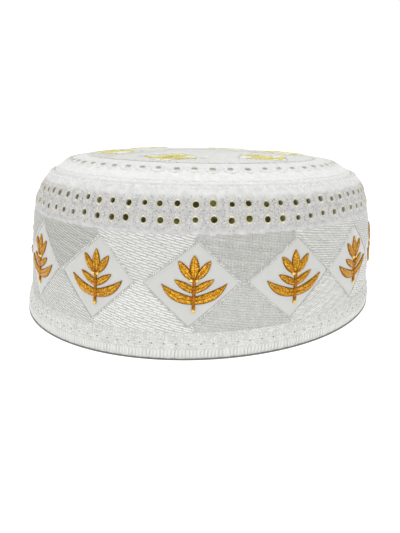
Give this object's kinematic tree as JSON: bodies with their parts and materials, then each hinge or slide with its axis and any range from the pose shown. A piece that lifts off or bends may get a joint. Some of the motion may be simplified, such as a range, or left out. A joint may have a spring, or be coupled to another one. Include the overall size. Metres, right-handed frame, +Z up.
{
  "type": "embroidered round skullcap",
  "caption": "Stiff round white cap with a tall pierced side band, lozenge panels in satin stitch, a low crown, a folded binding and gold thread tulip sprigs in relief.",
  "frame": {"origin": "Centre of the head opening, on the surface that the cap stands on, at the lowest point of the folded binding.", "axes": "+Z up, from the head opening to the crown. +Y towards the back of the cap, so the front faces -Y, and +X to the right seen from the front."},
  "size_m": [0.1841, 0.1838, 0.0778],
  "materials": {
    "band_cloth": "white quilted cotton covered with silvery white satin stitch, smooth white lozenges between the stitched fields, buttonhole stitch round the eyelets",
    "crown_cloth": "white cotton with scalloped rows of stitching round the eyelets and a raised field of satin stitch",
    "binding_cloth": "folded white cotton strip, closely overstitched, with a pebbled surface",
    "gold_thread": "padded satin stitch in bright orange gold metallic thread with darker brown edges"
  },
  "bodies": {
    "root": {"side_band": "band_cloth", "crown": "crown_cloth", "edge_binding": "binding_cloth", "band_sprig_01": "gold_thread", "band_sprig_02": "gold_thread", "band_sprig_03": "gold_thread", "band_sprig_04": "gold_thread", "band_sprig_05": "gold_thread", "band_sprig_06": "gold_thread", "band_sprig_07": "gold_thread", "band_sprig_08": "gold_thread", "band_sprig_09": "gold_thread", "band_sprig_10": "gold_thread", "band_sprig_11": "gold_thread", "band_sprig_12": "gold_thread", "band_sprig_13": "gold_thread", "crown_sprig_01": "gold_thread", "crown_sprig_02": "gold_thread", "crown_sprig_03": "gold_thread", "crown_sprig_04": "gold_thread", "crown_sprig_05": "gold_thread", "crown_sprig_06": "gold_thread"}
  },
  "joints": []
}
